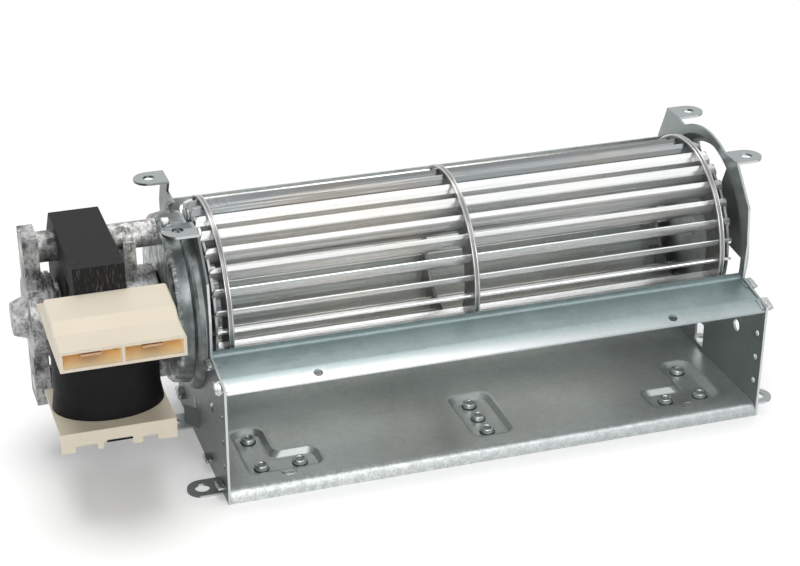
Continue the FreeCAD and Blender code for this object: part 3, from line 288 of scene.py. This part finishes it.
def drawn_blade():
    """Bright blade strip: draw lines, a grey bloom, painted shade towards the inner edge, and painted
    shade on the wheel's top side.
    """
    blade = Finish("blade_strip", (0.6, 0.61, 0.61), 0.85, 0.3)
    reach = blade.reach()
    lines = blade.noise(0.55, 3.0, blade.stretched(0.012, 1.0, 1.0), 0.7)
    bands = blade.noise(3.0, 2.0, blade.stretched(0.02, 1.0, 1.0))
    speckle = blade.noise(0.8, 3.0, None, 0.7)
    bloom = blade.noise(55.0, 2.0).between(0.50, 0.62)
    tint = blade.noise(34.0, 2.0, blade.stretched(0.5, 1.0, 1.0)).between(0.40, 0.62)
    batch = blade.noise(9.0, 1.0, blade.stretched(0.12, 1.0, 1.0))
    # Painted shade: outward faces are painted darker towards the blade's inner edge, where the blades
    # shade each other.
    outer_side = blade.outwards().between(-0.15, 0.15)
    root_painted_shade = 1.0 - reach.between(25.2, 28.4)
    x, y, z = blade.axes()
    # Painted shade: the blades on the wheel's top side, as it stands at rest, are painted darker.
    top_painted_shade = (z - AXIS_Z).between(24.0, 28.0) * (y - AXIS_Y).between(-9.0, -3.0)
    tone = 0.96 - outer_side * root_painted_shade * 0.66 + (lines - 0.5) * 0.9 + (bands - 0.5) * 0.9
    tone = tone + (speckle - 0.5) * bloom * 1.3 - bloom * 0.12 + (batch - 0.5) * 1.1
    tone = tone - top_painted_shade * 0.95
    cool = blade.tones(tone.clamped(), (0.0, (0.22, 0.235, 0.24)), (0.5, (0.72, 0.745, 0.75)),
                       (1.0, (0.97, 0.98, 0.98)))
    warm = blade.tones(tone.clamped(), (0.0, (0.25, 0.235, 0.21)), (0.5, (0.78, 0.755, 0.71)),
                       (1.0, (0.985, 0.97, 0.935)))
    blade.set("Base Color", blade.blend(tint, cool, warm))
    blade.set("Roughness", (lines * 0.16 + bloom * 0.12 + 0.16).clamped())
    blade.relief(lines + speckle * bloom, 0.012, 0.6)
    return blade


blade_strip = drawn_blade()


def end_disc_zinc():
    """The stamped end discs: darker, with faint turning marks."""
    disc = Finish("end_disc_zinc", (0.42, 0.44, 0.44), 1.0, 0.36)
    reach = disc.reach()
    turning = (reach * 9.0).math("SINE") * 0.5 + 0.5
    blots = disc.noise(6.0, 4.0)
    tone = (turning * 0.2 + blots * 0.8).clamped()
    disc.set("Base Color", disc.blend(tone, (0.20, 0.21, 0.21), (0.66, 0.68, 0.68)))
    return disc


def ring_steel():
    """The rings: lighter towards their outer edge, darker inwards."""
    steel = Finish("ring_steel", (0.5, 0.5, 0.5), 1.0, 0.3)
    worn = steel.noise(2.0, 3.0)
    lightened = steel.reach().between(30.4, 31.8)
    tone = lightened * 0.25 + worn * 0.5
    steel.set("Base Color", steel.blend(tone.clamped(), (0.09, 0.09, 0.09), (0.42, 0.415, 0.41)))
    return steel


def die_casting(name, dark, bright):
    """Rough cast alloy: pits, flow marks down the faces, and brighter worn spots."""
    cast = Finish(name, dark, 0.9, 0.45)
    pits = cast.noise(1.0, 5.0, None, 0.7)
    flow = cast.noise(2.2, 4.0, cast.stretched(1.0, 1.0, 0.35), 0.65)
    clouds = cast.noise(9.0, 3.0)
    tone = (pits * 0.40 + flow * 0.50 + clouds * 0.40).between(0.50, 0.82)
    cast.set("Base Color", cast.blend(tone, dark, bright))
    cast.set("Roughness", (pits * 0.35 + 0.28).clamped())
    cast.relief(pits + flow * 0.7, 0.22, 0.8)
    return cast


def laminated(name, colour, edge):
    """A lacquered stack: the sheets show as fine lines, with worn specks painted brightest on the front
    faces, as a highlight.
    """
    stack = Finish(name, colour, 0.0, 0.6, Specular_IOR_Level=0.14)
    x, y, z = stack.axes()
    nx, ny, nz = stack.facing()
    sheets = (x * (2.0 * math.pi / 0.65)).math("SINE") * 0.5 + 0.5
    edges = 1.0 - nx.size().between(0.2, 0.8)
    streaks = stack.noise(0.9, 4.0, stack.stretched(2.2, 0.3, 0.3), 0.7).between(0.50, 0.80)
    grain = stack.noise(1.2, 4.0)
    # Painted highlight: the streaks are lightest on the faces that face the front.
    front = (1.0 - ny.between(-0.9, -0.3)) * edges
    lightened = streaks * (front * 0.75 + edges * 0.08)
    base = stack.blend(grain, scaled(colour, 0.75), scaled(colour, 1.35))
    stack.set("Base Color", stack.blend(lightened.clamped(), base, edge))
    stack.set("Roughness", (grain * 0.2 + 0.50).clamped())
    stack.relief(sheets * edges * 0.8 + grain * 0.6, 0.05, 0.7)
    return stack


def coil_tape():
    """Black winding tape: overlapping turns and a little dust."""
    tape = Finish("winding_tape", (0.003, 0.003, 0.0034), 0.0, 0.55, Specular_IOR_Level=0.18)
    x, y, z = tape.axes()
    creases = tape.noise(2.6, 3.0, tape.stretched(1.0, 1.0, 0.25))
    laps = (z * 0.42 + creases * 0.5).math("FRACT").between(0.0, 0.10)
    dust = tape.noise(1.2, 5.0).between(0.55, 0.9)
    tape.set("Base Color", tape.blend(dust * 0.4, (0.0025, 0.0025, 0.003), (0.016, 0.016, 0.017)))
    tape.set("Roughness", (creases * 0.35 + 0.36).clamped())
    tape.relief(laps * 0.5 + creases, 0.10, 0.6)
    return tape


SOCKET_MOUTH, SOCKET_LOW, SOCKET_HIGH = -22.7, 62.6, 67.6
SOCKET_LEFT, SOCKET_RIGHT = -143.3, -106.7


def ivory_moulding():
    """Ivory moulding: inside its sockets painted light, warm yellow and brightest at the mouth, with a
    faint glow painted in.
    """
    ivory = Finish("ivory_moulding", (0.78, 0.70, 0.565), 0.0, 0.40, Emission_Strength=1.0)
    x, y, z = ivory.axes()
    mottle = ivory.noise(14.0, 4.0)
    specks = ivory.noise(0.7, 3.0)
    tone = mottle * 0.7 + specks * 0.3
    base = ivory.blend(tone, (0.69, 0.615, 0.49), (0.79, 0.715, 0.585))
    inside = y.between(SOCKET_MOUTH, SOCKET_MOUTH + 1.2) * z.between(SOCKET_LOW - 0.2, SOCKET_LOW)
    inside = inside * (1.0 - z.between(SOCKET_HIGH, SOCKET_HIGH + 0.2))
    inside = inside * x.between(SOCKET_LEFT - 0.2, SOCKET_LEFT)
    inside = inside * (1.0 - x.between(SOCKET_RIGHT, SOCKET_RIGHT + 0.2))
    inside = inside * (1.0 - y.between(-8.6, -8.2))
    # Painted light: inside the sockets the colour is brighter and warmer than the ivory, as light through
    # the moulding, darker further in, and a glow is painted in.
    deep = y.between(SOCKET_MOUTH, SOCKET_MOUTH + 9.0)
    amber = ivory.blend(deep, (1.0, 0.90, 0.66), (1.0, 0.74, 0.42))
    ivory.set("Base Color", ivory.blend(inside, base, amber))
    ivory.set("Emission Color", ivory.blend(inside, (0.0, 0.0, 0.0), (0.056, 0.042, 0.020)))
    ivory.set("Roughness", (specks * 0.16 + 0.32).clamped())
    ivory.relief(specks, 0.01, 0.5)
    return ivory


def plated(name, colour, roughness):
    """Plated or turned steel with fine marks round it."""
    metal = Finish(name, colour, 1.0, roughness)
    marks = metal.noise(0.5, 3.0, metal.stretched(3.0, 0.6, 0.6))
    stain = metal.noise(2.5, 3.0)
    tone = marks * 0.5 + stain * 0.5
    metal.set("Base Color", metal.blend(tone, scaled(colour, 0.6), scaled(colour, 1.35)))
    metal.set("Roughness", (marks * 0.2 + roughness - 0.1).clamped())
    metal.relief(marks, 0.01, 0.5)
    return metal


def porous(name, colour, roughness, metallic, grain, depth):
    """Felt, sintered bronze or rubber: an even colour broken by its grain."""
    soft = Finish(name, colour, metallic, roughness)
    pores = soft.noise(grain, 4.0)
    soft.set("Base Color", soft.blend(pores, scaled(colour, 0.6), scaled(colour, 1.35)))
    soft.relief(pores, depth, 0.8)
    return soft


disc_zinc = end_disc_zinc()
ring_bead = ring_steel()
# The outer casting is a darker copy of the inner one, as painted shade on the motor's left side.
shaded_outer_casting = die_casting("outer_die_casting", (0.07, 0.072, 0.072), (0.56, 0.565, 0.56))
inner_casting = die_casting("inner_die_casting", (0.10, 0.102, 0.10), (0.86, 0.865, 0.855))
lamination = laminated("lamination_lacquer", (0.013, 0.013, 0.0135), (0.20, 0.20, 0.20))
tape = coil_tape()
ivory = ivory_moulding()
# Painted shade and reflection: the tabs are painted brown, as the shade under the socket's roof with its
# warm light reflected in them.
shaded_tab = plated("tinned_tab_painted_shade", (0.50, 0.34, 0.22), 0.35)
shaft_steel = plated("turned_steel", (0.50, 0.50, 0.51), 0.28)
zinc_screw = plated("zinc_plated_screw", (0.46, 0.47, 0.46), 0.32)
copper = plated("copper_loop", (0.62, 0.32, 0.19), 0.35)
bronze = porous("sintered_bronze", (0.45, 0.31, 0.16), 0.5, 1.0, 0.5, 0.04)
felt = porous("oil_felt", (0.52, 0.48, 0.38), 0.95, 0.0, 0.5, 0.15)
silicone = porous("silicone_mount", (0.30, 0.075, 0.05), 0.5, 0.0, 0.8, 0.03)

FINISH_OF = {
    "left_side_plate": left_zinc, "right_side_plate": right_zinc, "scroll_sheet": scroll_zinc,
    "tongue_sheet": tongue_zinc, "idle_bearing_rubber": silicone, "idle_bearing_bush": bronze,
    "stator_core": lamination, "coil_core": lamination, "shading_rings": copper,
    "coil_winding": tape, "bobbin": ivory, "terminals": shaded_tab, "outer_bearing": bronze,
    "inner_bearing": bronze, "oil_felts": felt, "bearing_keepers": shaft_steel,
    "outer_bracket": shaded_outer_casting, "inner_bracket": inner_casting, "motor_screws": zinc_screw,
    "plate_screws": zinc_screw, "left_ring": ring_bead, "middle_ring": ring_bead,
    "right_ring": ring_bead, "drive_end_disc": disc_zinc, "idle_end_disc": disc_zinc,
    "drive_hub": shaft_steel, "hub_set_screw": zinc_screw, "stub_shaft": shaft_steel,
    "rotor_core": lamination, "rotor_cage": shaded_outer_casting, "motor_shaft": shaft_steel,
}
for name, node in NODES.items():
    finish = FINISH_OF.get(name, blade_strip)
    node.data.materials.clear()
    node.data.materials.append(finish.material)


# Softened edges of the castings and the stack

def soften(name, width, angle):
    """Rounds the sharp edges of a CAD piece a little."""
    node = NODES[name]
    weld = node.modifiers.new("weld", "WELD")
    weld.merge_threshold = 0.002 * MM
    bevel = node.modifiers.new("soft_edges", "BEVEL")
    bevel.width = width * MM
    bevel.segments = 2
    bevel.limit_method = "ANGLE"
    bevel.angle_limit = math.radians(angle)
    bevel.harden_normals = True


for name, width in (("outer_bracket", 0.5), ("inner_bracket", 0.4), ("stator_core", 0.25)):
    soften(name, width, 40)


# Small pieces that the CAD leaves out

def add_piece(name, mesh, finish, body):
    for face in mesh.polygons:
        face.use_smooth = True
    item = bpy.data.objects.new(name, mesh)
    bpy.context.scene.collection.objects.link(item)
    mesh.materials.append(finish.material)
    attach(item, body)
    return item


def lump(name, centre, size, finish, seed, turn=0.0):
    """A peened tab end: a small battered lump of sheet."""
    shape = bmesh.new()
    bmesh.ops.create_icosphere(shape, subdivisions=4, radius=1.0)
    lean = Matrix.Rotation(math.radians(turn), 3, "X")
    for corner in shape.verts:
        way = corner.co.normalized()
        boxy = Vector([math.copysign(abs(c) ** 0.6, c) for c in way])
        dent = 0.22 * noise.noise(way * 1.7 + Vector((seed, 0, 0)))
        dent += 0.14 * noise.noise(way * 4.1 + Vector((0, seed, 0)))
        place = Vector([boxy[i] * size[i] * (1.0 + dent) for i in range(3)])
        corner.co = (lean @ place + Vector(centre)) * MM
    mesh = bpy.data.meshes.new(name)
    shape.to_mesh(mesh)
    shape.free()
    return add_piece(name, mesh, finish, "casing")


def beads(name, rings, finish, body, around=96, across=10):
    """Thin round beads that run in circles; each is (centre, axis, reach, radius)."""
    shape = bmesh.new()
    for centre, axis, reach, radius in rings:
        along = Vector((axis == "X", axis == "Y", axis == "Z"))
        first_way = along.orthogonal().normalized()
        second_way = along.cross(first_way)
        rows = []
        for i in range(around):
            turn = 2 * math.pi * i / around
            out = first_way * math.cos(turn) + second_way * math.sin(turn)
            row = []
            for j in range(across):
                tilt = 2 * math.pi * j / across
                place = out * (reach + radius * math.cos(tilt)) + along * radius * math.sin(tilt)
                row.append(shape.verts.new((Vector(centre) + place) * MM))
            rows.append(row)
        for i in range(around):
            near, far = rows[i], rows[(i + 1) % around]
            for j in range(across):
                k = (j + 1) % across
                shape.faces.new((near[j], near[k], far[k], far[j]))
    bmesh.ops.recalc_face_normals(shape, faces=shape.faces)
    mesh = bpy.data.meshes.new(name)
    shape.to_mesh(mesh)
    shape.free()
    return add_piece(name, mesh, finish, body)


PEENED_TABS = (
    ("nose", -5.7, 4.15, 0), ("front", 12.0, 4.15, 0), ("rear", 53.5, 7.0, 24),
    ("wall", 75.5, 60.0, 90), ("tongue_front", -9.5, 41.6, 18), ("tongue", 2.5, 43.75, 7),
)
peened_zinc = plated("peened_zinc", (0.46, 0.48, 0.48), 0.34)
for seed, (name, y, z, turn) in enumerate(PEENED_TABS):
    for side, x in (("left", -94.45), ("right", 94.45)):
        lump("peened_%s_tab_%s" % (name, side), (x, y, z), (1.25, 2.7, 0.85), peened_zinc,
             seed * 2.7 + x * 0.01, turn)

RING_PLACES = (("left", -85.5), ("middle", -2.7), ("right", 85.5))
BEAD_SHIFT, BEAD_REACH, BEAD_RADIUS = 0.62, 31.95, 0.30
bright_bead = plated("ring_bead_steel", (0.56, 0.555, 0.545), 0.22)
for side, middle in RING_PLACES:
    pair = [((middle + shift, AXIS_Y, AXIS_Z), "X", BEAD_REACH, BEAD_RADIUS)
            for shift in (-BEAD_SHIFT, BEAD_SHIFT)]
    beads(side + "_ring_beads", pair, bright_bead, "impeller", 160)

COLLARS = [(side * x, y) for side in (-1, 1) for x, y in ((78.6, 20.9), (78.6, 2.9), (65.6, 2.9))]
COLLARS += [(0.0, 20.9), (0.0, 11.9), (0.0, 2.9)]
rim_zinc = plated("collar_rim_zinc", (0.62, 0.64, 0.64), 0.26)
# Painted shade: dark rings laid round the foot of each collar, where it meets the pad.
collar_painted_shade = plated("collar_root_painted_shade", (0.085, 0.09, 0.09), 0.5)
beads("collar_rims", [((x, y, 3.75), "Z", 1.86, 0.46) for x, y in COLLARS], rim_zinc, "casing", 40)
beads("collar_roots", [((x, y, 2.42), "Z", 2.42, 0.22) for x, y in COLLARS], collar_painted_shade, "casing", 40)


def dimple(name, centre, size, height, finish):
    """A shallow pressed dome on the floor sheet."""
    shape = bmesh.new()
    bmesh.ops.create_uvsphere(shape, u_segments=32, v_segments=16, radius=1.0)
    for corner in shape.verts:
        low = max(corner.co.z, -0.3)
        corner.co = Vector((centre[0] + corner.co.x * size[0], centre[1] + corner.co.y * size[1],
                            centre[2] + low * height)) * MM
    mesh = bpy.data.meshes.new(name)
    shape.to_mesh(mesh)
    shape.free()
    return add_piece(name, mesh, finish, "casing")


dimple("floor_dimple", (-71.2, -4.9, 4.45), (2.6, 1.9), 0.55, rim_zinc)
stamp = plated("stamp_mark", (0.50, 0.40, 0.38), 0.4)
beads("floor_stamp_mark", [((70.6, -5.2, 4.46), "Z", 2.1, 0.13)], stamp, "casing", 48)


def strip(name, points, radius, finish, body):
    """A thin strip laid along points."""
    line = bpy.data.curves.new(name, "CURVE")
    line.dimensions = "3D"
    line.bevel_depth = radius * MM
    line.bevel_resolution = 3
    line.use_fill_caps = True
    path = line.splines.new("NURBS")
    path.points.add(len(points) - 1)
    for point, place in zip(path.points, points):
        point.co = (*(Vector(place) * MM), 1.0)
    path.order_u = 3
    path.use_endpoint_u = True
    item = bpy.data.objects.new(name, line)
    bpy.context.scene.collection.objects.link(item)
    line.materials.append(finish.material)
    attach(item, body)
    return item


# Painted shade: a black strip laid on the front of the skirt stands in for the shade in its slot
strip("skirt_slot_painted_shade", [(-129.8, -7.45, 27.85), (-126.0, -7.5, 27.9), (-121.7, -7.45, 27.85)], 0.38,
      tape, "casing")
lump("plate_crimp", (-100.2, 31.0, 81.6), (1.5, 1.7, 1.3), peened_zinc, 9.3, 20)
lump("plate_crimp_low", (-99.4, 28.8, 80.2), (1.2, 1.2, 1.5), peened_zinc, 4.1, 50)


# Studio

def white_surface(name, lift):
    """A plain white surface that looks white to the camera and in reflections, and keeps shadows."""
    surface = Finish(name, (0.9, 0.9, 0.9), 0.0, 0.9)
    seen = surface.seen_directly()
    surface.set("Emission Color", surface.blend(seen, (0, 0, 0), (lift, lift, lift)))
    surface.set("Emission Strength", 1.0)
    return surface


bpy.ops.mesh.primitive_plane_add(size=12, location=(0, 0, 0))
floor = bpy.context.object
floor.name = "studio_floor"
floor.data.materials.append(white_surface("studio_white", 0.20).material)

ROOM_TONE = 0.26
world = bpy.data.worlds.new("studio_room")
world.use_nodes = True
bpy.context.scene.world = world
room = Shade(world.node_tree)
background = room.tree.nodes["Background"]
background.inputs["Color"].default_value = (1.0, 1.0, 1.0, 1.0)
room.plug(background.inputs["Strength"], room.seen_directly() * (1.0 - ROOM_TONE) + ROOM_TONE)


def soft_light(name, place, aim, size, power):
    lamp = bpy.data.lights.new(name, "AREA")
    lamp.shape = "RECTANGLE"
    lamp.size, lamp.size_y = size
    lamp.energy = power
    item = bpy.data.objects.new(name, lamp)
    bpy.context.scene.collection.objects.link(item)
    item.location = place
    item.rotation_euler = (Vector(aim) - Vector(place)).to_track_quat("-Z", "Y").to_euler()
    return item


def overhead_light(name, spread, strength):
    """A wide light overhead that reaches the whole floor evenly and isn't seen in the metal."""
    lamp = bpy.data.lights.new(name, "SUN")
    lamp.angle = math.radians(spread)
    lamp.energy = strength
    item = bpy.data.objects.new(name, lamp)
    bpy.context.scene.collection.objects.link(item)
    item.location = (0, 0, 1.5)
    item.visible_glossy = False
    return item


overhead_light("overhead_panel", 34.0, 1.90)
top_softbox = soft_light("top_softbox", (0.0, 0.45, 1.0), (0, 0, 0.05), (0.7, 0.35), 3.2)
top_softbox.data.color = (1.0, 0.95, 0.93)
top_softbox.visible_diffuse = False
brow_softbox = soft_light("brow_softbox", (0.25, -0.55, 0.85), (0, 0, 0.05), (0.9, 0.3), 1.5)
brow_softbox.visible_diffuse = False
soft_light("front_softbox", (-0.35, -0.9, 0.50), (-0.03, 0, 0.03), (0.6, 0.4), 3.4)


# Camera

CAMERA_PLACE = Vector((-204.9, -530.0, 331.4)) * MM
HEADING, TILT, ROLL = math.radians(16.9), math.radians(27.33), math.radians(-0.63)
back = Vector((-math.sin(HEADING) * math.cos(TILT), -math.cos(HEADING) * math.cos(TILT),
               math.sin(TILT)))
level = Vector((math.cos(HEADING), -math.sin(HEADING), 0))
up = back.cross(level)
right = level * math.cos(ROLL) + up * math.sin(ROLL)
up = back.cross(right)
lens = bpy.data.cameras.new("camera")
lens.lens = 87.6
lens.sensor_width = 36.0
lens.shift_x = 0.0445
lens.shift_y = 0.0728
lens.clip_start = 0.01
camera = bpy.data.objects.new("camera", lens)
bpy.context.scene.collection.objects.link(camera)
camera.matrix_world = Matrix.Translation(CAMERA_PLACE) @ Matrix((right, up, back)).transposed().to_4x4()
bpy.context.scene.camera = camera
bpy.context.scene.view_settings.view_transform = "Standard"
